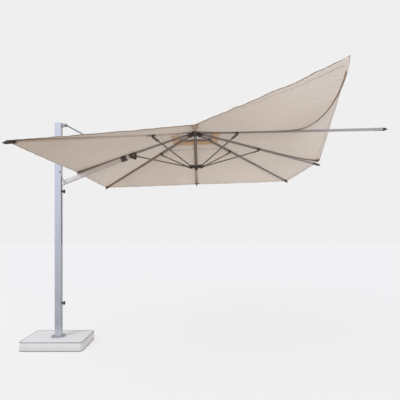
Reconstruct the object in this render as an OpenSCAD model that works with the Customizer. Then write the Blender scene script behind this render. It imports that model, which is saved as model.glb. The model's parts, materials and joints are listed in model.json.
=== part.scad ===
// Cantilever parasol: a weighted base, a swivelling box-section mast, a boom on a sliding
// carriage and a square eight-rib canopy that hangs from the boom's end.
// Origin: mast axis on the underside of the base. +X points along the boom, +Z up.

/* [Base] */
// Length of the base slab
base_l = 740; // [600:10:900]
// Width of the base slab
base_w = 500; // [400:10:700]
// Height of the base slab
base_h = 105; // [80:5:140]
// Corner radius of the base slab
base_r = 45; // [20:5:80]

/* [Mast] */
// Mast section along the boom
mast_x = 78; // [70:1:90]
// Mast section across the boom
mast_y = 60; // [56:1:64]
// Wall of the mast tube
mast_wall = 2.5; // [2:0.5:3.5]
// Height of the top of the mast cap
mast_top = 2716; // [2700:2:2740]
// Height of the knob that clamps the swivel
clamp_z = 512; // [450:1:520]

/* [Boom] */
// Distance of the boom's lower pivot from the mast axis
pivot_x = 80; // [78:1:90]
// Height of the boom's lower pivot
pivot_z = 1995; // [1980:1:2010]
// Slope of the boom above the horizontal
boom_slope = 21.55; // [21.4:0.05:21.6]
// Width of the boom section
boom_w = 40; // [38:1:42]
// Depth of the boom section
boom_d = 50; // [46:1:50]
// How far the carriage slides down the mast to close the canopy
travel = 630; // [400:10:640]

/* [Canopy] */
// Distance of the hub axis from the mast axis
hub_x = 1671; // [1660:1:1680]
// Height of the hub centre
hub_z = 2600; // [2596:1:2604]
// Lean of the canopy, outer side up
tilt = 2.12; // [2:0.02:2.2]
// Half the side of the square canopy
half_side = 1500; // [1450:10:1550]
// Fall from the hub to the rib tips
drop = 446; // [440:1:452]
// Fall from the hub to the front rib tip, which is bowed up by its fabric
front_drop = 374; // [360:1:446]
// Distance of the mast-side rib tip from the hub axis
mast_reach = 1455; // [1440:1:1460]
// Half the side of the vent opening
vent = 200; // [180:5:350]
// Height of the lifted front right corner of the fabric above the hub
lift = 234; // [0:2:240]

/* [Ribs] */
// Width of a rib tube
rib_w = 16; // [15:0.5:16]
// Height of a rib tube
rib_h = 20; // [18:1:20]
// Distance of the four middle brackets from the hub axis
mid_bracket = 777; // [760:1:790]
// Distance of the four corner brackets from the hub axis
corner_bracket = 654; // [640:1:670]
// Depth of the lower hub below the upper one
runner_drop = 415; // [410:1:420]

/* [Hidden] */
$fn = 48;

silver = [0.80, 0.81, 0.83];
rib_grey = [0.62, 0.59, 0.56];
dark = [0.27, 0.24, 0.21];
cloth = [0.76, 0.69, 0.62];
gap = 0.3;

// Spokes run clockwise seen from above, starting over the mast.
MAST = 0;
BACK_LEFT = 1;
BACK = 2;
BACK_RIGHT = 3;
OUTER = 4;
FRONT_RIGHT = 5;
FRONT = 6;
FRONT_LEFT = 7;
function azimuth(k) = 180 - 45 * k;
function is_corner(k) = k % 2 == 1;
function tip_r(k) = k == MAST ? mast_reach : is_corner(k) ? half_side * sqrt(2) : half_side;
function tip_z(k) = k == FRONT ? -front_drop : -drop;
function bracket_r(k) = k == MAST ? mid_bracket - 9 : is_corner(k) ? corner_bracket : mid_bracket;

// Pivots of the ribs on the upper hub and of the struts on the lower hub
fork_r = 98;
rib_pivot_z = -26;
bracket_drop = 20;
pin_r = 3;
cheek_in = rib_w / 2 + 0.6;
cheek_t = 4;
core_r = 56;

function rib_angle(k) = atan2(rib_pivot_z - tip_z(k), tip_r(k) - fork_r);
function rib_len(k) = norm([tip_r(k) - fork_r, rib_pivot_z - tip_z(k)]);
function bracket_s(k) = (bracket_r(k) - fork_r) / cos(rib_angle(k));
// Where a strut meets its rib, as [distance from the hub axis, height above the hub]
function strut_end(k) = [
    fork_r + bracket_s(k) * cos(rib_angle(k)) - bracket_drop * sin(rib_angle(k)),
    rib_pivot_z - bracket_s(k) * sin(rib_angle(k)) - bracket_drop * cos(rib_angle(k))];
function strut_angle(k) = atan2(strut_end(k)[1] + runner_drop, strut_end(k)[0] - fork_r);
function strut_len(k) = norm(strut_end(k) - [fork_r, -runner_drop]);

// The telescoping post: radius of each section, and the wall they share
post_r = [18, 15.6, 13.2];
post_wall = 2;

// The stay's two pivots, on the mast top and beside the collar
stay_top = [92, 2691];
stay_end = [795, 2315];
stay_y = 33.5;
stay_r = 5;

boom_len = 868;
groove_w = 22;
groove_floor = 2;
collar_mid = 775;
collar_l = 72;

fabric_lift = 15.5;
fabric_t = 1.2;

module hub_frame() translate([hub_x, 0, hub_z]) rotate([0, -tilt, 0]) children();
module spoke(k) hub_frame() rotate([0, 0, azimuth(k)]) children();
module rib_frame(k) spoke(k) translate([fork_r, 0, rib_pivot_z]) rotate([0, rib_angle(k), 0])
    children();
module strut_frame(k) spoke(k) translate([fork_r, 0, -runner_drop])
    rotate([0, -strut_angle(k), 0]) children();
module boom_frame() translate([pivot_x, 0, pivot_z]) rotate([0, -boom_slope, 0]) children();

module box(size, at = [0, 0, 0]) translate(at) cube(size, center = true);
module rod_x(r, l) rotate([0, 90, 0]) cylinder(r = r, h = l);
module rod_y(r, l) rotate([90, 0, 0]) cylinder(r = r, h = l, center = true);

// A rectangle with round corners, centred, made of exact arcs
module round_rect(x, y, r) {
    square([x - 2 * r, y], center = true);
    square([x, y - 2 * r], center = true);
    for (sx = [-1, 1], sy = [-1, 1])
        translate([sx * (x / 2 - r), sy * (y / 2 - r)]) circle(r);
}

// ---------- Base ----------
flange_r = 87;
flange_t = 8;
bolt_pcd_r = 68;
spigot_r = 25;
spigot_top = 560;
mast_foot = base_h + flange_t + 1;

module base_slab() color("white") difference() {
    union() {
        linear_extrude(base_h - 12) round_rect(base_l, base_w, base_r);
        translate([0, 0, base_h - 12]) linear_extrude(12)
            round_rect(base_l - 16, base_w - 16, base_r - 8);
    }
    for (a = [45 : 90 : 315]) rotate(a) translate([bolt_pcd_r, 0, base_h - 30])
        cylinder(r = 5, h = 31);
}

module base_flange() color(silver) translate([0, 0, base_h]) difference() {
    cylinder(r = flange_r, h = flange_t, $fn = 96);
    translate([0, 0, -1]) cylinder(r = spigot_r + 0.05, h = flange_t + 2);
    for (a = [45 : 90 : 315]) rotate(a) translate([bolt_pcd_r, 0, -1])
        cylinder(r = 5.2, h = flange_t + 2);
}

module flange_bolts() color(silver)
    for (a = [45 : 90 : 315]) rotate(a) translate([bolt_pcd_r, 0, base_h + flange_t]) {
        cylinder(r = 9, h = 6, $fn = 6);
        translate([0, 0, -30]) cylinder(r = 4.8, h = 30);
    }

module spigot_tube() color(rib_grey) translate([0, 0, base_h]) difference() {
    cylinder(r = spigot_r, h = spigot_top - base_h);
    translate([0, 0, -1]) cylinder(r = spigot_r - 3, h = spigot_top - base_h + 2);
}

// ---------- Mast ----------
slot_w = 17;
slot_low = pivot_z - 116 - travel - 22;
slot_high = pivot_z + 60;

module mast_section(inset, r)
    round_rect(mast_x - 2 * inset, mast_y - 2 * inset, r);

module mast_tube() color(silver) difference() {
    translate([0, 0, mast_foot]) linear_extrude(mast_top - 12 - mast_foot) difference() {
        mast_section(0, 7);
        mast_section(mast_wall, 4.5);
    }
    translate([mast_x / 2 - 6, -slot_w / 2, slot_low]) cube([12, slot_w, slot_high - slot_low]);
    translate([0, 0, clamp_z]) rod_x(6.5, 60);
}

module mast_bushes() color(dark)
    for (z = [mast_foot + 2, spigot_top - 42]) translate([0, 0, z]) linear_extrude(40) difference() {
        mast_section(mast_wall + gap, 4);
        circle(spigot_r + 0.5);
    }

module mast_cap() color(silver) {
    translate([0, 0, mast_top - 12]) linear_extrude(12) mast_section(0, 7);
    translate([0, 0, mast_top - 30]) linear_extrude(18) mast_section(mast_wall + gap, 4);
}

// Casting bolted to the mast's face, with a nose that carries the stay's pin
module top_bracket() color(silver) difference() {
    union() {
        translate([mast_x / 2, -22, stay_top[1] - 28]) cube([6, 44, 46]);
        translate([mast_x / 2 + 6, -18, stay_top[1] - 16]) cube([stay_top[0] - mast_x / 2 - 6, 36, 32]);
        translate([stay_top[0], 0, stay_top[1]]) rod_y(16, 36);
    }
    translate([stay_top[0], 0, stay_top[1]]) rod_y(5.05, 60);
}

module stay_pin() color(silver) translate([stay_top[0], 0, stay_top[1]]) {
    rod_y(5, 84);
    for (s = [-1, 1]) translate([0, s * 43.5, 0]) rod_y(8, 3);
}

// A six-lobed hand knob on a threaded stem, axis along +X, its hub starting at x = 0
knob_r = 24;
knob_hub = 18;
module hand_knob(stem) {
    translate([-stem, 0, 0]) rod_x(5.5, stem);
    rod_x(knob_r * 0.4, knob_hub);
    translate([knob_hub, 0, 0]) rotate([0, 90, 0]) linear_extrude(18) {
        circle(knob_r * 0.8);
        for (a = [0 : 60 : 300]) rotate(a) translate([knob_r * 0.72, 0]) circle(knob_r * 0.28, $fn = 24);
    }
    translate([knob_hub + 18, 0, 0]) rod_x(knob_r * 0.55, 4);
}

module clamp_knob() color(dark) translate([mast_x / 2 + 1, 0, clamp_z])
    hand_knob(mast_x / 2 - spigot_r);

// ---------- Carriage, lever and lock ----------
lock_z = pivot_z - 116;
block_low = lock_z - 30;
block_high = pivot_z + 45;
tongue_t = 14;

module carriage_block() color(dark) difference() {
    union() {
        translate([0, 0, block_low]) linear_extrude(block_high - block_low)
            mast_section(mast_wall + 0.5, 4);
        translate([20, -tongue_t / 2, pivot_z - 20]) cube([pivot_x - 20, tongue_t, 40]);
        translate([pivot_x, 0, pivot_z]) rod_y(20, tongue_t);
    }
    translate([pivot_x, 0, pivot_z]) rod_y(5.05, 40);
    translate([10, 0, lock_z]) rod_x(5.6, 40);
}

module boom_pin() color(silver) translate([pivot_x, 0, pivot_z]) {
    translate([0, -8.5, 0]) rod_y(5, 71);
    translate([0, 28.5, 0]) rod_y(8, 3);
    translate([0, -45.5, 0]) rod_y(8, 3);
}

module lock_knob() color(dark) translate([mast_x / 2 + 1, 0, lock_z])
    hand_knob(27);

// The lever lies in front of the mast, and turns on the end of the boom pin.
lever_l = 112;
lever_lean = 20;
lever_y = -38;
module release_lever() color(dark) translate([pivot_x, lever_y, pivot_z]) rotate([0, -lever_lean, 0])
    difference() {
        union() {
            rod_y(11, 8);
            cylinder(r = 3.8, h = lever_l);
            translate([0, 0, lever_l - 4]) rotate([0, -32, 0]) cylinder(r = 6.5, h = 30);
        }
        rod_y(5.05, 20);
    }

// ---------- Boom ----------
clevis_l = 60;
tail = 35;
module boom_tube() color(silver) boom_frame() difference() {
    union() {
        translate([clevis_l, 0, 0]) rotate([90, 0, 90]) linear_extrude(boom_len - clevis_l) difference() {
            round_rect(boom_w, boom_d, 4);
            translate([-groove_w / 2, groove_floor]) square([groove_w, boom_d]);
            translate([0, (groove_floor - boom_d / 2) / 2])
                round_rect(boom_w - 5, boom_d / 2 + groove_floor - 5, 2);
        }
        intersection() {
            box([2 * clevis_l, boom_w, boom_d]);
            rotate([0, boom_slope, 0]) translate([-tail, -boom_w, -100]) cube([200, 2 * boom_w, 200]);
        }
    }
    box([200, tongue_t + 1, 120], [-55, 0, 0]);
    rod_y(5.05, 60);
}

// Saddle under the boom, with the ears beside which the stay ends
module boom_collar() color(dark) boom_frame() difference() {
    ear = stay_in_boom();
    union() {
        box([collar_l, boom_w + 16, 3], [collar_mid, 0, -boom_d / 2 - 1.5]);
        for (s = [-1, 1]) {
            box([collar_l, 8, boom_d + 1], [collar_mid, s * (boom_w / 2 + 4), -2.5]);
            translate([ear[0], s * (boom_w / 2 + 4), ear[1]]) rod_y(11, 8);
            box([22, 8, ear[1]], [ear[0], s * (boom_w / 2 + 4), ear[1] / 2]);
        }
    }
    for (x = [-24, 24]) translate([collar_mid + x, 0, 0]) rod_y(3.1, 80);
}
// Stay pivot in the boom's frame, as [along, above]
function stay_in_boom() = let (v = stay_end - [pivot_x, pivot_z])
    [v[0] * cos(boom_slope) + v[1] * sin(boom_slope), v[1] * cos(boom_slope) - v[0] * sin(boom_slope)];

// Side plates that join the boom's end to the mast-side rib, and shroud the strut's lug
plate_t = 5;
module boom_end_bracket() color(dark) {
    boom_frame() for (s = [-1, 1]) difference() {
        translate([boom_len, s * (boom_w + plate_t) / 2 + plate_t / 2, 0]) rotate([90, 0, 0])
            linear_extrude(plate_t) {
                polygon([[-23, 22], [67, 22], [67, -16], [50, -44], [20, -44], [-23, -18]]);
                translate([35, -40]) circle(15);
            }
        for (z = [-10, 12]) translate([boom_len - 12, 0, z]) rod_y(3.1, 80);
    }
    rib_frame(MAST) translate([bracket_s(MAST), 0, 0]) {
        rib_saddle(44);
        inner = rib_w / 2 + 1;
        outer = boom_w / 2 + 2;
        for (s = [-1, 1]) box([12, outer - inner, 8], [16, s * (inner + outer) / 2, 8]);
    }
}

// ---------- Stay ----------
module stay_rods() color(silver) {
    v = stay_end - stay_top;
    translate([stay_top[0], 0, stay_top[1]]) rotate([0, -atan2(v[1], v[0]), 0])
        for (s = [-1, 1]) translate([0, s * stay_y, 0]) difference() {
            union() {
                rod_x(stay_r, norm(v));
                for (x = [0, norm(v)]) translate([x, 0, 0]) rod_y(10, 8);
                translate([norm(v), s * 4.5, 0]) rod_y(6, 3);
            }
            rod_y(5.05, 12);
        }
}

// ---------- Hubs and post ----------
// Eight forks round a core; the fork cheeks hold one pin for each rib or strut.
module fork_wheel(core_z, core_h) difference() {
    union() {
        translate([0, 0, core_z]) cylinder(r = core_r, h = core_h);
        for (k = [0 : 7], s = [-1, 1]) rotate(45 * k) translate([fork_r, s * (cheek_in + cheek_t / 2), 0]) {
            rod_y(11, cheek_t);
            translate([-fork_r + core_r - 8, -cheek_t / 2, -11]) cube([fork_r - core_r + 8, cheek_t, 22]);
        }
    }
    for (k = [0 : 7]) rotate(45 * k) translate([fork_r, 0, 0]) rod_y(pin_r + 0.05, 40);
}

module fork_pins() for (k = [0 : 7]) rotate(45 * k) translate([fork_r, 0, 0]) {
    rod_y(pin_r, 2 * (cheek_in + cheek_t));
    for (s = [-1, 1]) translate([0, s * (cheek_in + cheek_t + 0.75), 0]) rod_y(5, 1.5);
}

dome_h = 52;
dome_r = 40;
module top_hub() color(dark) hub_frame() difference() {
    translate([0, 0, rib_pivot_z]) {
        fork_wheel(-12, 24);
        translate([0, 0, 12]) rotate_extrude() intersection() {
            circle(r = dome_h, $fn = 96);
            square([dome_r, dome_h]);
        }
    }
    translate([0, 0, -60]) cylinder(r = post_r[1] + gap, h = 76);
}

module hub_pins() color(silver) hub_frame() translate([0, 0, rib_pivot_z]) fork_pins();

module post_section(i, low, high) difference() {
    translate([0, 0, low]) cylinder(r = post_r[i], h = high - low);
    translate([0, 0, low - 1]) cylinder(r = post_r[i] - post_wall, h = high - low + 2);
}

module post_outer() color(dark) hub_frame() post_section(0, -390, rib_pivot_z - 12);
module post_middle() color(rib_grey) hub_frame() post_section(1, -397, 13);
module post_inner() color(rib_grey) hub_frame() post_section(2, -runner_drop + 12, 8);

module lower_hub() color(dark) hub_frame() translate([0, 0, -runner_drop]) {
    fork_wheel(-12, 24);
    translate([0, 0, -30]) cylinder(r1 = 14, r2 = 24, h = 18);
    translate([0, 0, -44]) cylinder(r = 17, h = 14);
}

module runner_pins() color(silver) hub_frame() translate([0, 0, -runner_drop]) fork_pins();

// ---------- Ribs ----------
module rib(k) color(rib_grey) rib_frame(k) difference() {
    union() {
        rod_y(rib_h / 2, rib_w);
        translate([0, -rib_w / 2, -rib_h / 2]) cube([rib_len(k), rib_w, rib_h]);
    }
    rod_y(pin_r + 0.1, 40);
    translate([16, -rib_w / 2 + 1.6, -rib_h / 2 + 1.6]) cube([rib_len(k), rib_w - 3.2, rib_h - 3.2]);
}

// A clip round the rib with a lug below it, between the cheeks of the strut's fork
module rib_saddle(l) {
    difference() {
        box([l, rib_w + 3, rib_h + 5]);
        box([l + 2, rib_w, rib_h]);
    }
    translate([0, 0, -bracket_drop]) rod_y(8, rib_w + 3);
    box([16, rib_w + 3, 10], [0, 0, -bracket_drop + 5]);
}

module fittings(k) color(dark) rib_frame(k) {
    if (k != MAST) translate([bracket_s(k), 0, 0]) rib_saddle(44);
    translate([rib_len(k), 0, 0]) {
        box([24, rib_w - 3.4, rib_h - 3.4], [-12, 0, 0]);
        box([6, rib_w + 2, rib_h + 2], [3, 0, 0]);
        if (k != MAST) translate([6, 0, 0]) rotate([0, 90, 0]) cylinder(r1 = 8.5, r2 = 4, h = 22);
    }
}

// ---------- Struts ----------
strut_r = 8;
fork_l = 78;
fork_in = rib_w / 2 + 2.6;
module strut(k) color(rib_grey) strut_frame(k) {
    end = strut_len(k);
    difference() {
        union() {
            rod_y(10, rib_w);
            rod_x(strut_r, end - fork_l);
        }
        rod_y(pin_r + 0.1, 40);
        translate([20, 0, 0]) rod_x(strut_r - 1.5, end - fork_l - 40);
    }
    box([16, 2 * fork_in + 8, 16], [end - fork_l + 8, 0, 0]);
    for (s = [-1, 1]) translate([0, s * (fork_in + 2), 0]) {
        box([fork_l - 16, 4, 16], [end - fork_l / 2 + 8, 0, 0]);
        translate([end, 0, 0]) rod_y(8, 4);
        translate([end, s * 3, 0]) rod_y(6, 2);
    }
}

// ---------- Canopy ----------
// Points of a sheet are found from its seams: seam(k, t) runs over rib k from the hub, t = 0,
// to the hem, t = 1, in the hub's frame. Between two seams the sheet is ruled.
free_from = 1380 / (half_side * sqrt(2));
function bezier(p, u) = pow(1 - u, 3) * p[0] + 3 * u * pow(1 - u, 2) * p[1]
    + 3 * u * u * (1 - u) * p[2] + pow(u, 3) * p[3];
// The front right corner leaves its rib and turns up, as [distance, height]
corner_curve = [[1380, -drop * free_from + fabric_lift], [1600, -330 + fabric_lift],
    [1850, lift - 314], [1886, lift]];
corner_free = 0.64;
function seam_rz(k, t) =
    k == FRONT_RIGHT ? (t < corner_free
        ? [1380 * t / corner_free, -drop * free_from * t / corner_free + fabric_lift]
        : bezier(corner_curve, (t - corner_free) / (1 - corner_free)))
    : k == OUTER ? [tip_r(k) * t + 16 * pow(t, 12), tip_z(k) * t + fabric_lift + 34 * pow(t, 12)]
    : [tip_r(k) * t, tip_z(k) * t + fabric_lift];
function seam(k, t) = let (p = seam_rz(k, t), a = azimuth(k)) [p[0] * cos(a), p[0] * sin(a), p[1]];

vent_t = vent / half_side;
gore_edge = 0.4994;
function next(k, s) = (k - s + 8) % 8;
function sheet_point(k, s, t) = s == 0 ? seam(k, t)
    : (1 - gore_edge) * seam(k, t) + gore_edge * seam(next(k, s), t);

// Closed sheet over rib k, half way to each neighbour, from t = from to the hem
module petal(k, from, steps) {
    rows = [for (i = [0 : steps]) from + (1 - from) * i / steps];
    under = [for (t = rows, s = [-1, 0, 1]) sheet_point(k, s, t)];
    over = [for (p = under) p + [0, 0, fabric_t]];
    n = len(under);
    quads = concat(
        [for (i = [0 : steps - 1], j = [0, 1]) let (a = 3 * i + j) [a, a + 3, a + 4, a + 1]],
        [for (i = [0 : steps - 1], j = [0, 1]) let (a = n + 3 * i + j) [a, a + 1, a + 4, a + 3]],
        [for (i = [0 : steps - 1]) let (a = 3 * i) [a, n + a, n + a + 3, a + 3]],
        [for (i = [0 : steps - 1]) let (a = 3 * i + 2) [a, a + 3, n + a + 3, n + a]],
        [for (j = [0, 1]) [j, j + 1, n + j + 1, n + j]],
        [for (j = [0, 1]) let (a = 3 * steps + j) [a, n + a, n + a + 1, a + 1]]);
    faces = [for (q = quads, h = [0, 1]) h == 0 ? [q[0], q[1], q[2]] : [q[0], q[2], q[3]]];
    polyhedron(concat(under, over), faces, convexity = 4);
}

curved = [OUTER, FRONT_RIGHT, FRONT, BACK_RIGHT];
module canopy(k) color(cloth) hub_frame()
    petal(k, vent_t, len([for (c = curved) if (c == k) c]) > 0 ? 14 : 1);

// The mast-side sheet has a slit over each ear of the collar, for the stay.
module canopy_mast() color(cloth) difference() {
    hub_frame() petal(MAST, vent_t, 1);
    boom_frame() for (s = [-1, 1])
        box([96, 24, 80], [stay_in_boom()[0] - 16, s * 30.5, stay_in_boom()[1]]);
}

cap_t = 0.28;
cap_lift = 20;
module vent_cap() color(cloth) hub_frame() {
    ring = [for (k = [0 : 7]) let (p = seam(k, cap_t)) [p[0], p[1], p[2] + cap_lift]];
    apex = [0, 0, 47];
    under = concat([apex], ring);
    over = [for (p = under) p + [0, 0, fabric_t]];
    faces = concat(
        [for (k = [0 : 7]) [0, 1 + (k + 1) % 8, 1 + k]],
        [for (k = [0 : 7]) [9, 10 + k, 10 + (k + 1) % 8]],
        [for (k = [0 : 7]) let (m = (k + 1) % 8) [1 + k, 10 + m, 10 + k]],
        [for (k = [0 : 7]) let (m = (k + 1) % 8) [1 + k, 1 + m, 10 + m]]);
    polyhedron(concat(under, over), faces, convexity = 4);
}

base_slab();
base_flange();
flange_bolts();
spigot_tube();
mast_tube();
mast_bushes();
mast_cap();
top_bracket();
stay_pin();
clamp_knob();
carriage_block();
boom_pin();
lock_knob();
release_lever();
boom_tube();
boom_collar();
boom_end_bracket();
stay_rods();
top_hub();
hub_pins();
post_outer();
vent_cap();
post_middle();
post_inner();
lower_hub();
runner_pins();
rib(MAST);  // rib_mast
rib(BACK_LEFT);  // rib_back_left
rib(BACK);  // rib_back
rib(BACK_RIGHT);  // rib_back_right
rib(OUTER);  // rib_outer
rib(FRONT_RIGHT);  // rib_front_right
rib(FRONT);  // rib_front
rib(FRONT_LEFT);  // rib_front_left
fittings(MAST);  // fittings_mast
fittings(BACK_LEFT);  // fittings_back_left
fittings(BACK);  // fittings_back
fittings(BACK_RIGHT);  // fittings_back_right
fittings(OUTER);  // fittings_outer
fittings(FRONT_RIGHT);  // fittings_front_right
fittings(FRONT);  // fittings_front
fittings(FRONT_LEFT);  // fittings_front_left
strut(MAST);  // strut_mast
strut(BACK_LEFT);  // strut_back_left
strut(BACK);  // strut_back
strut(BACK_RIGHT);  // strut_back_right
strut(OUTER);  // strut_outer
strut(FRONT_RIGHT);  // strut_front_right
strut(FRONT);  // strut_front
strut(FRONT_LEFT);  // strut_front_left
canopy_mast();
canopy(BACK_LEFT);  // canopy_back_left
canopy(BACK);  // canopy_back
canopy(BACK_RIGHT);  // canopy_back_right
canopy(OUTER);  // canopy_outer
canopy(FRONT_RIGHT);  // canopy_front_right
canopy(FRONT);  // canopy_front
canopy(FRONT_LEFT);  // canopy_front_left
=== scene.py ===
"""Cantilever parasol: cloth, fittings, materials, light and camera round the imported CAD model."""
import bpy
import bmesh
import json
import numpy as np
from math import atan2, cos, pi, radians, sin, sqrt, tau
from mathutils import Matrix, Vector, noise

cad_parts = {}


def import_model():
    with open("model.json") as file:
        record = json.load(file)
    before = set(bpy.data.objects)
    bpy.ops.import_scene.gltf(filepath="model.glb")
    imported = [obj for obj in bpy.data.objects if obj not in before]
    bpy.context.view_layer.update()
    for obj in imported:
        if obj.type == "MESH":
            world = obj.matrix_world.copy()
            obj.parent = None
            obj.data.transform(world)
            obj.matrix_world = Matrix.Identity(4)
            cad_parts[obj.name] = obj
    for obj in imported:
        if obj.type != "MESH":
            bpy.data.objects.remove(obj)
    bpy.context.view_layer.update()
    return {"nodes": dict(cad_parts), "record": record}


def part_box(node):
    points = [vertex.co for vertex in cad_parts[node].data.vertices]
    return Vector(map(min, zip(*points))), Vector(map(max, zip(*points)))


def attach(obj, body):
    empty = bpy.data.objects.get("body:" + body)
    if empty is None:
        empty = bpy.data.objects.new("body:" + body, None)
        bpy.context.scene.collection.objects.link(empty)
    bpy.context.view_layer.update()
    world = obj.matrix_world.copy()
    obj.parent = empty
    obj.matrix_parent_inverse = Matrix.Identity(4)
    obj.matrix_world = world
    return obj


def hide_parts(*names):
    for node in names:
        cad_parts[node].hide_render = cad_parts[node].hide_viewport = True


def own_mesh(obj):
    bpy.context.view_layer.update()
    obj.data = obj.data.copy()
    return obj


bpy.context.scene.view_settings.view_transform = "Standard"

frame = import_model()
JOINTS = {j["name"]: j for j in frame["record"]["behaviour"]["joints"]}

# ---------- Driving dimensions, in metres ----------
TILT = radians(2.12)     # the hub's lean about Y
HALF_SIDE = 1.5          # half the canopy's side at the hem
DROP = 0.446             # a rib tip's distance below the hub
FRONT_DROP = 0.374       # the same for the front rib
MAST_REACH = 1.455       # the hub axis to the tip of the rib towards the mast
LIFT = 0.234             # the free corner's height above the hub
FABRIC_LIFT = 0.0161     # the cloth's height above the line from the hub to a rib tip
VENT = 0.200             # half the side of the vent opening
HUB_TO_FORK = 0.098      # the hub axis to a rib's pivot
FORK_Z = -0.026          # the pivots' height in the hub's frame

SPOKES = ["mast", "back_left", "back", "back_right", "outer", "front_right", "front", "front_left"]
MAST, BACK_LEFT, BACK, BACK_RIGHT, OUTER, FRONT_RIGHT, FRONT, FRONT_LEFT = range(8)


def azimuth(k):
    return pi - k * pi / 4


def tip(k):
    """The rib tip's distance from the hub axis, and its height, in the hub's frame."""
    reach = MAST_REACH if k == MAST else HALF_SIDE * (sqrt(2) if k % 2 else 1)
    return reach, -(FRONT_DROP if k == FRONT else DROP)


# The hub's frame comes from the joint of the outer rib, which lies HUB_TO_FORK along +X from it.
LEAN = Matrix.Rotation(-TILT, 4, "Y")
HUB = Matrix.Translation(
    Vector(JOINTS["fold_outer"]["pos_m"]) - LEAN @ Vector((HUB_TO_FORK, 0, FORK_Z))) @ LEAN


def arm_body(k):
    return "boom" if k == MAST else "arm_" + SPOKES[k]


def rib_place(k):
    """The frame of rib k, from its pivot: x runs along it to its tip, and z is up. With its length."""
    reach, fall = tip(k)
    slope = atan2(FORK_Z - fall, reach - HUB_TO_FORK)
    place = HUB @ Matrix.Rotation(azimuth(k), 4, "Z") @ Matrix.Translation((HUB_TO_FORK, 0, FORK_Z))
    return place @ Matrix.Rotation(slope, 4, "Y"), sqrt((reach - HUB_TO_FORK) ** 2 + (FORK_Z - fall) ** 2)


def folded(k):
    """How rib k turns, seen from the hub, when the canopy closes, as a matrix in the shared frame."""
    joint = JOINTS["hub_level" if k == MAST else "fold_" + SPOKES[k]]
    turn = radians(joint["range_deg"][1]) * (-1 if k == MAST else 1)
    pivot = Matrix.Translation(Vector(joint["pos_m"]))
    return pivot @ Matrix.Rotation(turn, 4, Vector(joint["axis"])) @ pivot.inverted()


# ---------- Materials ----------
def new_material(name, base, rough, metal=0.0, **sockets):
    """A Principled material. Gives back the material, its node tree and its shader."""
    mat = bpy.data.materials.new(name)
    mat.use_nodes = True
    tree = mat.node_tree
    shader = tree.nodes["Principled BSDF"]
    shader.inputs["Base Color"].default_value = (*base, 1)
    shader.inputs["Roughness"].default_value = rough
    shader.inputs["Metallic"].default_value = metal
    for key, value in sockets.items():
        shader.inputs[key.replace("_", " ")].default_value = value
    return mat, tree, shader


def node(tree, kind, **values):
    made = tree.nodes.new(kind)
    for key, value in values.items():
        if hasattr(made, key):
            setattr(made, key, value)
        else:
            made.inputs[key.replace("_", " ")].default_value = value
    return made


def object_coords(tree, scale=(1, 1, 1)):
    coords = node(tree, "ShaderNodeTexCoord")
    mapping = node(tree, "ShaderNodeMapping")
    mapping.inputs["Scale"].default_value = scale
    tree.links.new(coords.outputs["Object"], mapping.inputs["Vector"])
    return mapping.outputs["Vector"]


def noise_texture(tree, vector, scale, detail=4):
    tex = node(tree, "ShaderNodeTexNoise", Scale=scale, Detail=detail, Roughness=0.55)
    tree.links.new(vector, tex.inputs["Vector"])
    return tex.outputs["Fac"]


def ramp(tree, fac, stops):
    """A colour ramp: stops are (position, colour)."""
    made = node(tree, "ShaderNodeValToRGB")
    elements = made.color_ramp.elements
    while len(elements) < len(stops):
        elements.new(0.5)
    for element, (place, colour) in zip(elements, stops):
        element.position = place
        element.color = (*colour, 1)
    tree.links.new(fac, made.inputs["Fac"])
    return made.outputs["Color"]


def add_bump(tree, shader, height, strength, distance, below=None):
    bump = node(tree, "ShaderNodeBump", Strength=strength, Distance=distance)
    tree.links.new(height, bump.inputs["Height"])
    if below is not None:
        tree.links.new(below, bump.inputs["Normal"])
    tree.links.new(bump.outputs["Normal"], shader.inputs["Normal"])
    return bump.outputs["Normal"]


def maths(tree, operation, a, b):
    made = node(tree, "ShaderNodeMath", operation=operation)
    for socket, value in zip(made.inputs, (a, b)):
        if isinstance(value, (int, float)):
            socket.default_value = value
        else:
            tree.links.new(value, socket)
    return made.outputs["Value"]


def shade(colour, factor):
    return tuple(min(1, c * factor) for c in colour)


def cloth_material(name, colour, yarn=0.0016, mottle=0.05):
    """Plain-weave polyester: two crossed sets of yarns from the sheet's own map, slub and dust mottle."""
    mat, tree, shader = new_material(name, colour, 0.86, Sheen_Weight=0.25, Sheen_Roughness=0.5)
    shader.inputs["Specular IOR Level"].default_value = 0.25
    uv = node(tree, "ShaderNodeUVMap", uv_map="weave")
    split = node(tree, "ShaderNodeSeparateXYZ")
    tree.links.new(uv.outputs["UV"], split.inputs["Vector"])
    warp = maths(tree, "SINE", maths(tree, "MULTIPLY", split.outputs["X"], tau / yarn), 0)
    weft = maths(tree, "SINE", maths(tree, "MULTIPLY", split.outputs["Y"], tau / yarn), 0)
    weave = maths(tree, "MULTIPLY", warp, weft)
    where = object_coords(tree)
    broad = noise_texture(tree, where, 3.0)
    slub = noise_texture(tree, object_coords(tree, (60, 9, 60)), 6.0, 3)
    mixed = maths(tree, "ADD", maths(tree, "MULTIPLY", broad, 0.6), maths(tree, "MULTIPLY", slub, 0.4))
    tint = ramp(tree, mixed, [(0.3, shade(colour, 1 - mottle)), (0.7, shade(colour, 1 + mottle))])
    tree.links.new(tint, shader.inputs["Base Color"])
    folds = noise_texture(tree, object_coords(tree, (2.0, 4.0, 9.0)), 2.6, 3)
    soft = add_bump(tree, shader, folds, 0.4, 0.03)
    crease = add_bump(tree, shader, noise_texture(tree, where, 14.0, 5), 0.25, 0.004, soft)
    add_bump(tree, shader, weave, 0.35, 0.0005, crease)
    return mat


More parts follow.
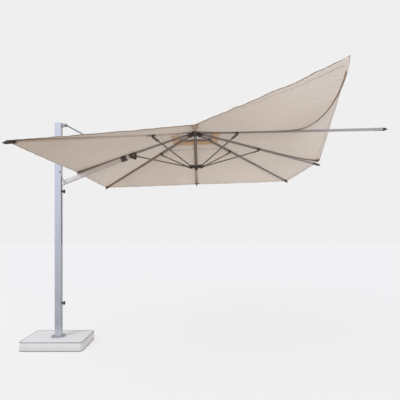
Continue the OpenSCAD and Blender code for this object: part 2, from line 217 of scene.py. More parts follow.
def metal_material(name, colour, rough, along, grain=0.06, metal=1.0):
    """Drawn or brushed metal, with fine lines along one axis and smudges in its gloss."""
    mat, tree, shader = new_material(name, colour, rough, metal)
    stretch = [700, 700, 700]
    stretch["XYZ".index(along)] = 4
    lines = noise_texture(tree, object_coords(tree, stretch), 1.0, 2)
    smudge = noise_texture(tree, object_coords(tree), 5.0, 5)
    tint = ramp(tree, smudge, [(0.3, shade(colour, 1 - grain)), (0.75, shade(colour, 1 + grain))])
    tree.links.new(tint, shader.inputs["Base Color"])
    gloss = maths(tree, "ADD", maths(tree, "MULTIPLY", smudge, 0.22), rough - 0.1)
    tree.links.new(gloss, shader.inputs["Roughness"])
    add_bump(tree, shader, lines, 0.12, 0.0004)
    return mat


def plastic_material(name, colour, rough=0.5):
    """Moulded plastic: fine spark-eroded grain, and edges rubbed a little paler."""
    mat, tree, shader = new_material(name, colour, rough)
    where = object_coords(tree)
    wear = noise_texture(tree, where, 30.0, 5)
    edge = node(tree, "ShaderNodeNewGeometry")
    worn = maths(tree, "MULTIPLY", edge.outputs["Pointiness"], wear)
    tint = ramp(tree, worn, [(0.2, colour), (0.36, shade(colour, 1.8))])
    tree.links.new(tint, shader.inputs["Base Color"])
    add_bump(tree, shader, noise_texture(tree, where, 900.0, 2), 0.2, 0.0004)
    return mat


def stone_material(name, colour):
    """Painted concrete: faint cloudiness and fine pits."""
    mat, tree, shader = new_material(name, colour, 0.62)
    where = object_coords(tree)
    cloud = noise_texture(tree, where, 7.0, 6)
    tint = ramp(tree, cloud, [(0.3, shade(colour, 0.95)), (0.7, colour)])
    tree.links.new(tint, shader.inputs["Base Color"])
    pits = noise_texture(tree, where, 220.0, 3)
    add_bump(tree, shader, pits, 0.25, 0.001)
    return mat


CLOTH = cloth_material("cloth", (0.74, 0.65, 0.565))
# Dark brown seam tape. The strip of it along each seam also paints the shade between the rib or boom and the
# cloth, and the rib's shadow near the hem.
SEAM_TAPE_AND_SHADE = cloth_material("seam_tape", (0.30, 0.20, 0.13), 0.0011, 0.08)
BAND = cloth_material("vent_band", (0.60, 0.39, 0.23), 0.0013, 0.08)
POCKET = cloth_material("corner_pocket", (0.10, 0.06, 0.04), 0.0018, 0.1)
THREAD = cloth_material("thread", (0.52, 0.42, 0.32), 0.0006)
MAST_METAL = metal_material("mast_aluminium", (0.74, 0.755, 0.80), 0.40, "Z")
CAST_METAL = metal_material("cast_aluminium", (0.46, 0.45, 0.47), 0.5, "Y", 0.12, 0.6)
BOOM_METAL = metal_material("boom_aluminium", (0.86, 0.81, 0.77), 0.42, "X", 0.06, 0.7)
RIB_METAL = metal_material("rib_aluminium", (0.42, 0.385, 0.385), 0.45, "X", 0.1, 0.4)
SLEEVE = cloth_material("rib_sleeve", (0.36, 0.255, 0.175), 0.0013, 0.08)
STRUT_METAL = metal_material("strut_aluminium", (0.30, 0.265, 0.23), 0.45, "X", 0.1, 0.5)
STEEL = metal_material("bright_steel", (0.62, 0.62, 0.64), 0.3, "X")
STAY_STEEL = metal_material("stay_steel", (0.40, 0.40, 0.41), 0.35, "X")
GALVANISED = metal_material("galvanised_steel", (0.55, 0.56, 0.58), 0.5, "Z", 0.15)
DARK = plastic_material("dark_plastic", (0.055, 0.045, 0.037))
TRIM = plastic_material("base_trim", (0.13, 0.13, 0.145), 0.6)
RING = plastic_material("post_ring", (0.75, 0.73, 0.72), 0.45)
STONE = stone_material("base_stone", (0.86, 0.86, 0.85))

NODE_MATERIALS = {
    "mast_tube": MAST_METAL, "mast_cap": MAST_METAL, "top_bracket": CAST_METAL, "boom_tube": BOOM_METAL,
    "spigot_tube": GALVANISED, "base_flange": STEEL, "flange_bolts": STEEL, "stay_pin": STEEL,
    "stay_rods": STAY_STEEL, "boom_pin": STEEL, "hub_pins": STEEL, "runner_pins": STEEL,
    "post_outer": STRUT_METAL, "post_middle": STRUT_METAL, "post_inner": STRUT_METAL, "base_slab": STONE}
KIND_MATERIALS = {"rib": RIB_METAL, "strut": STRUT_METAL, "canopy": CLOTH}
for name, cad in frame["nodes"].items():
    mat = NODE_MATERIALS.get(name, KIND_MATERIALS.get(name.split("_")[0], DARK))
    for entry in cad.material_slots:
        entry.material = mat


# ---------- Mesh helpers ----------
# No tube here runs this way, so it gives each of them its first side.
OFF_PATH = (0.13, 0.21, 0.97)


class Build:
    """Collects grids of points into one mesh, each grid a thin closed slab or a closed tube."""

    def __init__(self):
        self.points, self.faces, self.slots, self.uvs, self.smooth = [], [], [], [], []

    def slab(self, grid, thick, slot, offset=0.0):
        """A sheet of that thickness about grid, an array of rows of points, offset along its normal."""
        along = np.gradient(grid, axis=0)
        across = np.gradient(grid, axis=1)
        normal = np.cross(along, across)
        normal /= np.maximum(np.linalg.norm(normal, axis=2, keepdims=True), 1e-12)
        rows, cols = grid.shape[:2]
        start = len(self.points)
        layers = [grid + normal * (offset + side * thick / 2) for side in (1, -1)]
        for layer in layers:
            self.points.extend(map(tuple, layer.reshape(-1, 3)))
        down = np.linalg.norm(np.diff(grid, axis=0, prepend=grid[:1]), axis=2)
        over = np.linalg.norm(np.diff(grid, axis=1, prepend=grid[:, :1]), axis=2)
        uv = np.stack([np.cumsum(down, axis=0), np.cumsum(over, axis=1)], axis=2)
        flat = uv.reshape(-1, 2)
        self.uvs.extend(list(map(tuple, flat)) * 2)
        count = rows * cols

        def at(i, j, layer):
            return start + layer * count + i * cols + j

        for i in range(rows - 1):
            for j in range(cols - 1):
                self.face([at(i, j, 0), at(i + 1, j, 0), at(i + 1, j + 1, 0), at(i, j + 1, 0)], slot)
                self.face([at(i, j, 1), at(i, j + 1, 1), at(i + 1, j + 1, 1), at(i + 1, j, 1)], slot)
        for i in range(rows - 1):
            self.face([at(i, 0, 0), at(i, 0, 1), at(i + 1, 0, 1), at(i + 1, 0, 0)], slot, False)
            self.face([at(i, cols - 1, 0), at(i + 1, cols - 1, 0), at(i + 1, cols - 1, 1),
                       at(i, cols - 1, 1)], slot, False)
        for j in range(cols - 1):
            self.face([at(0, j, 0), at(0, j + 1, 0), at(0, j + 1, 1), at(0, j, 1)], slot, False)
            self.face([at(rows - 1, j, 0), at(rows - 1, j, 1), at(rows - 1, j + 1, 1),
                       at(rows - 1, j + 1, 0)], slot, False)

    def tube(self, path, radius, slot, sides=6):
        """A round tube along path, closed at both ends. The radius is a number, or one for each point."""
        path = np.array([tuple(p) for p in path], float)
        radii = np.broadcast_to(radius, len(path))
        ahead = np.gradient(path, axis=0)
        ahead /= np.maximum(np.linalg.norm(ahead, axis=1, keepdims=True), 1e-12)
        side = np.cross(ahead, OFF_PATH)
        side /= np.linalg.norm(side, axis=1, keepdims=True)
        up = np.cross(side, ahead)
        start = len(self.points)
        for p, s, u, r in zip(path, side, up, radii):
            for i in range(sides):
                a = tau * i / sides
                self.points.append(tuple(p + r * (cos(a) * s + sin(a) * u)))
                self.uvs.append((0.01 * i, float(np.dot(p, p)) ** 0.5))
        for r in range(len(path) - 1):
            for i in range(sides):
                a, b = start + r * sides + i, start + r * sides + (i + 1) % sides
                self.face([a, b, b + sides, a + sides], slot)
        last = start + (len(path) - 1) * sides
        self.face([start + i for i in reversed(range(sides))], slot, False)
        self.face([last + i for i in range(sides)], slot, False)

    def face(self, corners, slot, smooth=True):
        self.faces.append(corners)
        self.slots.append(slot)
        self.smooth.append(smooth)

    def piece(self, name, materials):
        mesh = bpy.data.meshes.new(name)
        mesh.from_pydata(self.points, [], self.faces)
        layer = mesh.uv_layers.new(name="weave")
        loops = np.empty(len(mesh.loops), int)
        mesh.loops.foreach_get("vertex_index", loops)
        layer.data.foreach_set("uv", np.asarray(self.uvs)[loops].ravel())
        mesh.polygons.foreach_set("material_index", self.slots)
        mesh.polygons.foreach_set("use_smooth", self.smooth)
        for mat in materials:
            mesh.materials.append(mat)
        fixed = bmesh.new()
        fixed.from_mesh(mesh)
        bmesh.ops.recalc_face_normals(fixed, faces=fixed.faces)
        fixed.to_mesh(mesh)
        fixed.free()
        made = bpy.data.objects.new(name, mesh)
        bpy.context.scene.collection.objects.link(made)
        return made


def ring(half_y, half_z, power=2.0, lobes=0, depth=0.0, sides=48):
    """Points of a closed outline: power 2 is an ellipse, and higher ones are rounded rectangles."""
    made = []
    for i in range(sides):
        a = tau * (i + 0.5) / sides
        c, d = cos(a), sin(a)
        far = (abs(c) ** power + abs(d) ** power) ** (-1 / power) * (1 + depth * cos(lobes * a))
        made.append((far * c * half_y, far * d * half_z))
    return made


def loft(name, sections, place, materials, body):
    """A closed piece along x: each section is (x, outline points, material number)."""
    build = bmesh.new()
    rings = [[build.verts.new((x, y, z)) for y, z in outline] for x, outline, _ in sections]
    for (low, high), section in zip(zip(rings, rings[1:]), sections[1:]):
        for i in range(len(low)):
            j = (i + 1) % len(low)
            face = build.faces.new((low[i], low[j], high[j], high[i]))
            face.material_index = section[2]
            face.smooth = True
    build.faces.new(list(reversed(rings[0]))).material_index = sections[1][2]
    build.faces.new(rings[-1]).material_index = sections[-1][2]
    bmesh.ops.recalc_face_normals(build, faces=build.faces)
    mesh = bpy.data.meshes.new(name)
    build.to_mesh(mesh)
    build.free()
    mesh.transform(place)
    for mat in materials:
        mesh.materials.append(mat)
    piece = bpy.data.objects.new(name, mesh)
    bpy.context.scene.collection.objects.link(piece)
    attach(piece, body)
    return piece


def pointing(place, ahead):
    """A frame at place whose x axis points ahead."""
    turn = Vector((1, 0, 0)).rotation_difference(Vector(ahead)).to_matrix().to_4x4()
    return Matrix.Translation(Vector(place)) @ turn


# ---------- Canopy ----------
# A point of the cloth is found from its seams, as in the CAD: seam(k, t) runs over rib k from the
# hub, t = 0, to the hem, t = 1; between two seams the cloth is ruled, and then sags and creases.
FREE_FROM = 1.38
FREE_AT = 0.64
CORNER_DROP = -DROP * FREE_FROM / (HALF_SIDE * sqrt(2)) + FABRIC_LIFT
CORNER_CURVE = [(FREE_FROM, CORNER_DROP), (1.6, FABRIC_LIFT - 0.33), (1.85, LIFT - 0.314), (1.886, LIFT)]
VENT_T = VENT / HALF_SIDE
BAND_T = 0.19
# Where a thick thread line paints the shadow of the vent cap's edge, seen through the cloth
CAP_SHADOW_STITCH_T = 0.26
CAP_T = 0.28
CAP_LIFT = 0.020
HEM_T = 0.026
SHEET_THICK = 0.0009
EDGE_COLUMN = 0.0004
CLOTH_SLOT, TAPE_AND_SHADE_SLOT, THREAD_SLOT, BAND_SLOT, POCKET_SLOT = range(5)


def bezier(points, u):
    weights = (1 - u) ** 3, 3 * u * (1 - u) ** 2, 3 * u * u * (1 - u), u ** 3
    return [sum(w * p[i] for w, p in zip(weights, points)) for i in (0, 1)]


def seam(k, t):
    """Points of seam k in the hub's frame, for an array of t."""
    reach, fall = tip(k)
    r, z = reach * t, fall * t + FABRIC_LIFT
    if k == FRONT_RIGHT:
        bent = bezier(CORNER_CURVE, np.clip((t - FREE_AT) / (1 - FREE_AT), 0, 1))
        held = t < FREE_AT
        r = np.where(held, FREE_FROM * t / FREE_AT, bent[0])
        z = np.where(held, (CORNER_DROP - FABRIC_LIFT) * t / FREE_AT + FABRIC_LIFT, bent[1])
    if k == OUTER:
        r, z = r + 0.016 * t ** 12, z + 0.034 * t ** 12
    return np.stack([r * cos(azimuth(k)), r * sin(azimuth(k)), z], axis=-1)


def crease(points, depth, size):
    """Small soft folds from noise, the same for both halves of a gore because they follow place."""
    flat = points.reshape(-1, 3)
    made = [noise.noise(Vector(p) / size) + 0.5 * noise.noise(Vector(p) * 2.3 / size) for p in flat]
    return depth * np.array(made).reshape(points.shape[:-1])


def cloth(k, m, t, w, lift=0.0):
    """Points of the cloth between seams k and m, in the hub's frame: w is the share of m."""
    points = (1 - w)[..., None] * seam(k, t) + w[..., None] * seam(m, t)
    bay = 4 * w * (1 - w)
    sag = 0.016 * bay * np.sin(pi * np.clip(t, 0, 1)) + 0.006 * bay * t
    loose = bay * np.clip((t - 0.35) / 0.65, 0, 1)
    if FRONT_RIGHT in (k, m):
        near = w if m == FRONT_RIGHT else 1 - w
        sag = sag + 0.02 * bay * near * t * t
        sag = sag + crease(points * (1.0, 1.0, 2.6), 0.013, 0.32) * loose
        ridge = np.abs(np.sin(9 * near + 5 * t)) ** 3
        sag = sag + 0.008 * ridge * loose * t
    points[..., 2] += lift - sag + crease(points, 0.0016, 0.16) * (0.3 + loose)
    ripple = 0.0022 * np.sin(34 * w * (1 - w) * 4 + 3 * k * m) * np.clip((t - 0.9) / 0.1, 0, 1) * bay
    points[..., 2] += ripple
    return points


def world(points):
    turn = np.array(HUB)
    return points @ turn[:3, :3].T + turn[:3, 3]


def grid(k, m, t_range, w_range, steps, lift=0.0):
    """A grid of the cloth between seams k and m, with steps rows and columns over those ranges."""
    # A column close to each side keeps the sheet's shading smooth right up to its edges.
    low, high = w_range
    w = np.concatenate(([low], np.linspace(low + EDGE_COLUMN, high - EDGE_COLUMN, steps[1] - 2), [high]))
    t, w = np.meshgrid(np.linspace(*t_range, steps[0]), w, indexing="ij")
    return world(cloth(k, m, t, w, lift))


def seam_share(k, m, t, width):
    """The w at which a strip of that width beside seam k ends, at t."""
    span = np.linalg.norm(seam(m, t) - seam(k, t), axis=-1)
    return np.minimum(width / np.maximum(span, 1e-6), 0.5)


def strip(k, m, t_range, width, steps, start=0.0):
    """A grid beside seam k. Its width is a number, or a function of t."""
    t = np.linspace(*t_range, steps)[:, None] * np.ones((1, 5))
    share = np.linspace(0, 1, 5)[None, :]
    wide = width(t) if callable(width) else width
    low = seam_share(k, m, t, start) if start else 0.0
    w = low + (seam_share(k, m, t, start + wide) - low) * share
    return world(cloth(k, m, t, w))


def tape_and_shadow_width(k):
    """The seam's tape widens towards the hem; the wider dark strip there also paints the rib's shadow on the
    cloth.
    """
    wide, narrow, from_t = (0.028, 0.006, 0.1) if k == FRONT else (0.026, 0.012, 0.8)
    return lambda t: narrow + (wide - narrow) * np.clip((t - from_t) / (1 - from_t), 0, 1)


def pocket_width(k, length):
    """A pocket's width, as a function of t: full at the hem, and 2 mm at its inner end."""
    reach = tip(k)[0]
    wide = 0.085 if k % 2 else 0.045
    return lambda t: np.maximum(0.002, wide * (1 - (1 - t) * reach / length))


def along(k):
    """The direction of seam k, taken as straight, from the hub outwards."""
    reach, fall = tip(k)
    a = azimuth(k)
    return (HUB.to_3x3() @ Vector((reach * cos(a), reach * sin(a), fall))).normalized()


def fold_with(k, rest, target):
    """The squash of rib k's cloth that takes the point rest to target once rib k has folded."""
    move = folded(k).inverted() @ target - rest
    anchor = Vector(world(seam(k, np.array(0.5))))
    axis = move.normalized()
    return axis, anchor, 1 + move.length / (rest - anchor).dot(axis)


def folded_middle(k, m):
    """The middle of the hem between ribs k and m, at rest, and where it hangs when folded.

    Both halves would reach it, except beside the free corner: there the neighbour's half would have to turn
    inside out, so its squash would stop short and a tear would stay open.
    """
    middle = Vector(world((seam(k, np.array(1.0)) + seam(m, np.array(1.0))) / 2))
    planes = [(folded(r).to_3x3() @ along(r), folded(r) @ middle) for r in (k, m)]
    if FRONT_RIGHT in (k, m):
        # The free corner's cloth only moves sideways.
        normal, place = planes[0 if m == FRONT_RIGHT else 1]
        start = folded(FRONT_RIGHT) @ middle
        a = azimuth(FRONT_RIGHT)
        way = folded(FRONT_RIGHT).to_3x3() @ HUB.to_3x3() @ Vector((-sin(a), cos(a), 0))
        return middle, start + way * (normal.dot(place - start) / normal.dot(way))
    line = planes[0][0].cross(planes[1][0]).normalized()
    rows = np.array([normal for normal, place in planes])
    start = Vector(np.linalg.lstsq(rows, [n.dot(p) for n, p in planes], rcond=None)[0])

    def slack(spot):
        """The smaller of the two halves' keeps, or -1 where one of them would have to stretch."""
        keeps = [fold_with(r, middle, spot)[2] for r in (k, m)]
        return min(keep if keep <= 1 else -1 for keep in keeps)

    return middle, max((start + line * far for far in np.arange(-4, 4, 0.01)), key=slack)


def half_petal(k, m):
    """The half of a gore that hangs on rib k, towards rib m, with its tapes, seams and vent cap."""
    build = Build()
    # A slab's normal points down where m follows k, so this turns every offset to count upwards.
    top = -1 if (m - k) % 8 == 1 else 1

    def layer(points, thick, slot, off):
        build.slab(points, thick, slot, top * off)

    layer(grid(k, m, (VENT_T, 1), (0, 0.5), (72, 24)), SHEET_THICK, CLOTH_SLOT, 0)
    # Hem: a folded band on both sides, two rows of stitches that lie inside it, and a piped edge
    for side in (-1, 1):
        layer(grid(k, m, (1 - HEM_T, 1), (0, 0.5), (4, 24)), 0.0006, CLOTH_SLOT, side * 0.0012)
    for t in (1 - HEM_T + 0.002, 0.994):
        build.tube(grid(k, m, (t, t), (0, 0.5), (1, 48))[0], 0.0011, THREAD_SLOT)
    build.tube(grid(k, m, (1, 1), (0, 0.5), (1, 48))[0], 0.0032, TAPE_AND_SHADE_SLOT)
    # Seam over the rib: a dark tape underneath, which also paints the shade between the rib or boom and the
    # cloth, a flat-felled fold on top, and a row of stitches between them
    layer(strip(k, m, (VENT_T, 1), tape_and_shadow_width(k), 64), 0.0008, TAPE_AND_SHADE_SLOT, -0.0013)
    layer(strip(k, m, (VENT_T, 1), 0.009, 64), 0.0008, CLOTH_SLOT, 0.0012)
    build.tube(strip(k, m, (VENT_T, 1), 0.001, 64, 0.0075)[:, 0], 0.001, THREAD_SLOT)
    # Pocket for the rib's tip, on both sides of the cloth
    length = 0.12 if k % 2 else 0.075
    colour = {FRONT_RIGHT: CLOTH_SLOT, FRONT: TAPE_AND_SHADE_SLOT}.get(k, POCKET_SLOT)
    for side in (-1, 1):
        cover = strip(k, m, (1 - length / tip(k)[0], 1), pocket_width(k, length), 12)
        layer(cover, 0.001, colour, side * 0.0026)
    # Band round the vent opening. Outside it, a thick line of thread, drawn as stitching, paints the shadow
    # of the vent cap's edge seen through the cloth
    layer(grid(k, m, (VENT_T, BAND_T), (0, 0.5), (6, 16)), 0.0008, BAND_SLOT, -0.0022)
    line = grid(k, m, (CAP_SHADOW_STITCH_T, CAP_SHADOW_STITCH_T), (0, 0.5), (1, 24))[0] - np.array((0, 0, 0.0012))
    build.tube(line, 0.0012 if FRONT_RIGHT in (k, m) else 0.0022, THREAD_SLOT)
    # Vent cap and its bound edge
    layer(grid(k, m, (0.075, CAP_T), (0, 0.5), (16, 14), CAP_LIFT), SHEET_THICK, CLOTH_SLOT, 0)
    layer(grid(k, m, (CAP_T - 0.02, CAP_T), (0, 0.5), (3, 14), CAP_LIFT), 0.0007, TAPE_AND_SHADE_SLOT, -0.0012)
    piece = build.piece(f"cloth_{SPOKES[k]}_to_{SPOKES[m]}", [CLOTH, SEAM_TAPE_AND_SHADE, THREAD, BAND, POCKET])
    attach(piece, arm_body(k))
    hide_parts("canopy_" + SPOKES[k])
    axis, anchor, keep = fold_with(k, *folded_middle(k, m))
    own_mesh(piece)
    return piece


for k in range(8):
    for step in (1, -1):
        half_petal(k, (k + step) % 8)

crown = Build()
r, a = np.meshgrid(np.linspace(0.004, 0.165, 12), np.linspace(0, tau, 49), indexing="ij")
crown.slab(world(np.stack([r * np.cos(a), r * np.sin(a), 0.0475 - 0.26 * r], axis=-1)),
           SHEET_THICK, CLOTH_SLOT)
crown = crown.piece("crown_patch", [CLOTH])
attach(crown, "hub")
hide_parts("vent_cap")


# ---------- Fittings of the ribs ----------
def studs(name, places, ahead, radius, body):
    """Domed rivet or screw heads, as one piece: each rises along ahead from its place."""
    build = Build()
    ahead = np.array(Vector(ahead).normalized())
    rise = [(0, 1), (0.25, 1), (0.5, 0.8), (0.62, 0.4), (0.65, 0.05)]
    for place in places:
        path = [np.array(place) + ahead * radius * up for up, _ in rise]
        build.tube(path, [radius * wide for _, wide in rise], 0, 16)
    piece = build.piece(name, [STEEL])
    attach(piece, body)
    return piece


RIB_W, RIB_H = 0.016, 0.020


def sleeve(k, place, start, end, mat):
    """A cloth sleeve that holds the rib against its seam, drawn in at both ends. The front one flares."""
    run = end - start
    flare = 0.019 if k == FRONT else 0.0
    wrap = [(0, 0.3), (0.002, 1.4), (0.01, 2.0)] + [
        (0.01 + (run - 0.02) * i / 24, 2.0 + 0.35 * sin(i * 2.4)) for i in range(1, 24)] + [
        (run - 0.008, 2.2), (run - 0.002, 1.4), (run, 0.3)]
    loft(f"rib_sleeve_{SPOKES[k]}_{round(start * 1000)}",
         [(x, ring(RIB_W / 2 + g / 1000 + flare * max(0, x / run) ** 2, RIB_H / 2 + g / 1000, 5), 0)
          for x, g in wrap], place @ Matrix.Translation((start, 0, 0)), [mat], arm_body(k))


# The rib towards the mast lies in the boom and has none of these.
CORNER_BRACKET, MIDDLE_BRACKET = 0.654, 0.777
for k, spoke in enumerate(SPOKES[1:], 1):
    place, length = rib_place(k)
    reach, fall = tip(k)
    slope = atan2(FORK_Z - fall, reach - HUB_TO_FORK)
    bracket = ((CORNER_BRACKET if k % 2 else MIDDLE_BRACKET) - HUB_TO_FORK) / cos(slope)
    side = place.to_3x3() @ Vector((0, 1, 0))
    for s in (1, -1):
        studs(f"rivets_{spoke}_{'left' if s > 0 else 'right'}",
              [place @ Vector((bracket + x, s * (RIB_W / 2 + 0.0015), 0.003)) for x in (-0.015, 0.015)],
              side * s, 0.0032, arm_body(k))
    if k == FRONT_LEFT:
        sleeve(k, place, 0.05, bracket - 0.035, CLOTH)
    if k in (FRONT_LEFT, BACK_LEFT, BACK, FRONT):
        end = length + 0.032 if k == FRONT else length - 0.08
        sleeve(k, place, bracket + 0.09, end, CLOTH if k == FRONT_LEFT else SLEEVE)
    # A ferrule over the rib's end, bare metal at the free corner, and a moulded cap with a pointed nose
    flare = [(0, 0.4), (0.002, 1.6), (0.006, 2.2), (0.014, 1.5), (0.052, 1.5), (0.058, 2.4), (0.064, 2.4),
             (0.067, 0.6)]
    loft(f"ferrule_{spoke}", [(x, ring(RIB_W / 2 + g / 1000, RIB_H / 2 + g / 1000, 6), 0) for x, g in flare],
         place @ Matrix.Translation((length - 0.068, 0, 0)), [CAST_METAL if k == FRONT_RIGHT else DARK],
         arm_body(k))
    nose = [(-0.001, 9.6, 11.6, 6), (0.001, 10.4, 12.4, 6), (0.006, 10.4, 12.4, 5), (0.009, 9.0, 10.4, 4),
            (0.018, 7.6, 8.2, 2.6), (0.025, 5.4, 5.4, 2), (0.029, 2.6, 2.6, 2), (0.030, 0.4, 0.4, 2)]
    loft(f"tip_cap_{spoke}", [(x, ring(y / 1000, z / 1000, power), 0) for x, y, z, power in nose],
         place @ Matrix.Translation((length, 0, 0)), [DARK], arm_body(k))

collar = [(0, 0.0205), (0.001, 0.036), (0.003, 0.038), (0.018, 0.038), (0.020, 0.036), (0.021, 0.0205)]
loft("post_ring", [(x, ring(r, r), 0) for x, r in collar], HUB @ pointing((0, 0, -0.066), (0, 0, 1)), [RING],
     "hub")


# ---------- Mast, knobs and lever ----------
KNOB_FACE = 0.040     # where a knob begins, 1 mm off the mast


def hand_knob(body, height, stem):
    """A six-lobed moulded knob on a bright threaded stem, standing off the mast's face.

    Its profile rows are (distance from KNOB_FACE, radius in mm, depth of the lobes, material number).
    """
    profile = [(-stem, 0.3, 0, 1), (-stem, 5.5, 0, 1), (0, 5.5, 0, 1), (0.0005, 8.4, 0, 0),
               (0.002, 9.6, 0, 0), (0.014, 9.6, 0, 0), (0.018, 11, 0.02, 0), (0.0185, 19, 0.09, 0),
               (0.020, 21.5, 0.115, 0), (0.024, 22, 0.125, 0), (0.031, 22, 0.125, 0),
               (0.035, 20.5, 0.11, 0), (0.0362, 17, 0.07, 0), (0.0364, 13, 0.01, 0),
               (0.039, 12.4, 0, 0), (0.040, 10, 0, 0), (0.0402, 0.3, 0, 0)]
    sections = [(x, ring(r / 1000, r / 1000, 2, 6, d, 96), mat) for x, r, d, mat in profile]
    knob = loft(body + "_shaped", sections, Matrix.Translation((KNOB_FACE, 0, height)), [DARK, STEEL], body)
    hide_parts(body)


hand_knob("clamp_knob", 0.512, 0.014)
hand_knob("lock_knob", 1.879, 0.027)

PIVOT = Vector((0.080, 0, 1.995))
LEVER_Y = -0.038
LEVER_LEAN = radians(20)
lever = Build()
up = Vector((-sin(LEVER_LEAN), 0, cos(LEVER_LEAN)))
grip = Vector((-sin(LEVER_LEAN + radians(32)), 0, cos(LEVER_LEAN + radians(32))))
root = PIVOT + Vector((0, LEVER_Y, 0))
bend = root + up * 0.112
arm = [root + up * d for d in (0.007, 0.03, 0.06, 0.09, 0.105)] + [bend + grip * 0.003, bend + grip * 0.008]
lever.tube(arm, 0.0038, 1, 16)
hold = [(0.002, 4.4), (0.003, 5.6), (0.006, 6.3), (0.012, 5.9), (0.018, 6.3), (0.023, 6.4), (0.0255, 5),
        (0.026, 0.5)]
lever.tube([bend + grip * d for d, _ in hold], [r / 1000 for _, r in hold], 0, 24)
boss = [(-0.0041, 0.5), (-0.004, 9.6), (-0.003, 10.8), (0.003, 10.8), (0.004, 9.6), (0.0041, 0.5)]
lever.tube([root + Vector((0, d, 0)) for d, _ in boss], [r / 1000 for _, r in boss], 1, 32)
lever = lever.piece("release_lever_shaped", [DARK, STEEL])
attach(lever, "lever")
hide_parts("release_lever")

BOOM_LIE = radians(21.55)
BOOM = Matrix.Translation(PIVOT) @ Matrix.Rotation(-BOOM_LIE, 4, "Y")
BOOM_W = 0.040
for s in (1, -1):
    hand = "back" if s > 0 else "front"
    across = Vector((0, s, 0))
    strap = s * (BOOM_W / 2 + 0.008)
    plate = s * (BOOM_W / 2 + 0.005)
    for name, radius, spots in (
            ("collar_screws_", 0.006, [(0.775 + x, strap, 0) for x in (-0.024, 0.024)]),
            ("bracket_screws_", 0.0055, [(0.856, plate, z) for z in (-0.010, 0.012)]),
            ("lug_pin_", 0.0075, [(0.8993, plate, -0.0063)])):
        studs(name + hand, [BOOM @ Vector(spot) for spot in spots], across, radius, "boom")
bolts = [(0.045, y, z) for y in (-0.0195, 0.0195) for z in (2.668, 2.703)]
studs("head_bolts", bolts, (1, 0, 0), 0.0028, "mast")


# ---------- Base ----------
LENGTH, WIDTH, HEIGHT = [high - low for low, high in zip(*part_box("base_slab"))]
CORNER = 0.045


def slab_ring(inset):
    """The base's outline, drawn in by inset, with round corners: points (x, y) of a closed loop."""
    made = []
    radius = max(CORNER - inset, 0.004)
    for corner in range(4):
        sx, sy = (1, -1, -1, 1)[corner], (1, 1, -1, -1)[corner]
        for i in range(13):
            a = pi / 2 * (corner + i / 12)
            made.append((sx * (LENGTH / 2 - inset - radius) + radius * cos(a),
                         sy * (WIDTH / 2 - inset - radius) + radius * sin(a)))
    return made


edge = [(0, 6), (0.002, 1.8), (0.006, 0), (0.094, 0), (0.0985, 1.2), (0.102, 3.6), (0.1044, 7), (HEIGHT, 12)]
upright = Matrix(((0, 1, 0, 0), (0, 0, 1, 0), (1, 0, 0, 0), (0, 0, 0, 1)))
sections = [(z, slab_ring(inset / 1000), 0) for z, inset in edge]
slab = loft("base_slab_cast", sections, upright, [STONE], "root")
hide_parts("base_slab")
trim = Build()
for z, inset in ((0.1025, 0.0042), (0.0045, 0.0012)):
    loop = [(x, y, z) for x, y in slab_ring(inset)]
    trim.tube(loop + loop[:2], 0.0042, 0, 8)
trim = trim.piece("base_edge_bead", [TRIM])
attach(trim, "root")

# ---------- Stage, light and camera ----------
# A mix node repeats its socket names for each kind of data, so its colour sockets go by number.
MIX_FIRST, MIX_SECOND, MIX_RESULT = 6, 7, 2
PAPER = 0.863


def seen_by_camera(tree, seen, otherwise):
    """A colour that the camera sees, and another one that lights the object."""
    mix = node(tree, "ShaderNodeMix", data_type="RGBA")
    tree.links.new(node(tree, "ShaderNodeLightPath").outputs["Is Camera Ray"], mix.inputs["Factor"])
    mix.inputs[MIX_SECOND].default_value = (*seen, 1)
    tree.links.new(otherwise, mix.inputs[MIX_FIRST])
    return mix.outputs[MIX_RESULT]


bpy.ops.mesh.primitive_plane_add(size=60, location=(0, 0, 0))
floor = bpy.context.object
floor.name = "floor"
paper, tree, shader = new_material("floor", (0.16, 0.16, 0.16), 0.9)
glow = node(tree, "ShaderNodeMix", data_type="RGBA")
tree.links.new(node(tree, "ShaderNodeLightPath").outputs["Is Diffuse Ray"], glow.inputs["Factor"])
glow.inputs[MIX_FIRST].default_value = (0.21, 0.205, 0.205, 1)
across = node(tree, "ShaderNodeSeparateXYZ")
tree.links.new(object_coords(tree), across.inputs["Vector"])
east = maths(tree, "ADD", maths(tree, "MULTIPLY", across.outputs["X"], 0.22),
             maths(tree, "ADD", maths(tree, "MULTIPLY", across.outputs["Y"], 0.2), 0.22))
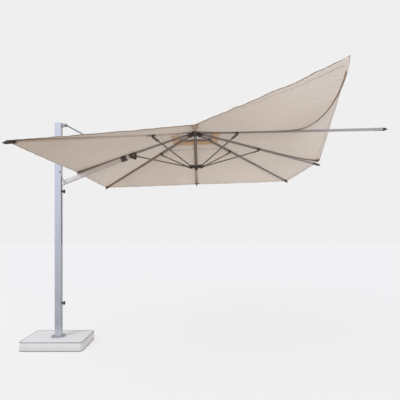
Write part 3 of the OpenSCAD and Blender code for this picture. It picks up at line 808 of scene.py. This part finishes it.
# To the light that reaches the object, the floor glows brighter and cooler towards +X and +Y.
uneven = ramp(tree, east, [(0.0, (0.33, 0.26, 0.20)), (1.0, (0.92, 0.915, 0.92))])
tree.links.new(uneven, glow.inputs[MIX_SECOND])
shown = seen_by_camera(tree, (0.71, 0.71, 0.715), glow.outputs[MIX_RESULT])
tree.links.new(shown, shader.inputs["Emission Color"])
shader.inputs["Emission Strength"].default_value = 1
floor.data.materials.append(paper)

sky = bpy.data.worlds.new("studio")
bpy.context.scene.world = sky
sky.use_nodes = True
tree = sky.node_tree
split = node(tree, "ShaderNodeSeparateXYZ")
tree.links.new(node(tree, "ShaderNodeTexCoord").outputs["Generated"], split.inputs["Vector"])
depth = maths(tree, "ADD", maths(tree, "MULTIPLY", split.outputs["Y"], 0.5), 0.5)
room = ramp(tree, depth, [(0.0, (0.90, 0.95, 1.09)), (0.5, (0.86, 0.86, 0.89)), (1.0, (0.42, 0.42, 0.44))])
tree.links.new(seen_by_camera(tree, (PAPER, PAPER, PAPER), room), tree.nodes["Background"].inputs["Color"])


def area_light(name, place, aim, size, power, colour=(1, 1, 1), gloss=True):
    lamp = bpy.data.lights.new(name, "AREA")
    lamp.shape = "RECTANGLE"
    lamp.size, lamp.size_y = size
    lamp.energy = power
    lamp.color = colour
    made = bpy.data.objects.new(name, lamp)
    made.location = place
    made.rotation_euler = (Vector(aim) - Vector(place)).to_track_quat("-Z", "Y").to_euler()
    made.visible_camera = False
    made.visible_glossy = gloss
    bpy.context.scene.collection.objects.link(made)
    return made


area_light("key", (-3.5, -4.5, 6.5), (1.2, 0, 2.2), (3, 3), 200, gloss=False)
# A narrow light aimed at the lifted cloth
fold_light = area_light("fold_light", (0.4, -3.6, 1.9), (2.75, -1.25, 2.75), (0.5, 0.5), 1.5,
                        (0.84, 0.93, 1), False)
fold_light.data.spread = radians(38)

camera = bpy.data.objects.new("camera", bpy.data.cameras.new("camera"))
camera.location = (1.708, -4.247, 1.405)
camera.rotation_euler = (pi / 2, 0, -0.0059)
camera.data.lens = 31.1
camera.data.sensor_width = 36
camera.data.shift_y = 0.0753
camera.data.clip_end = 200
bpy.context.scene.collection.objects.link(camera)
bpy.context.scene.camera = camera
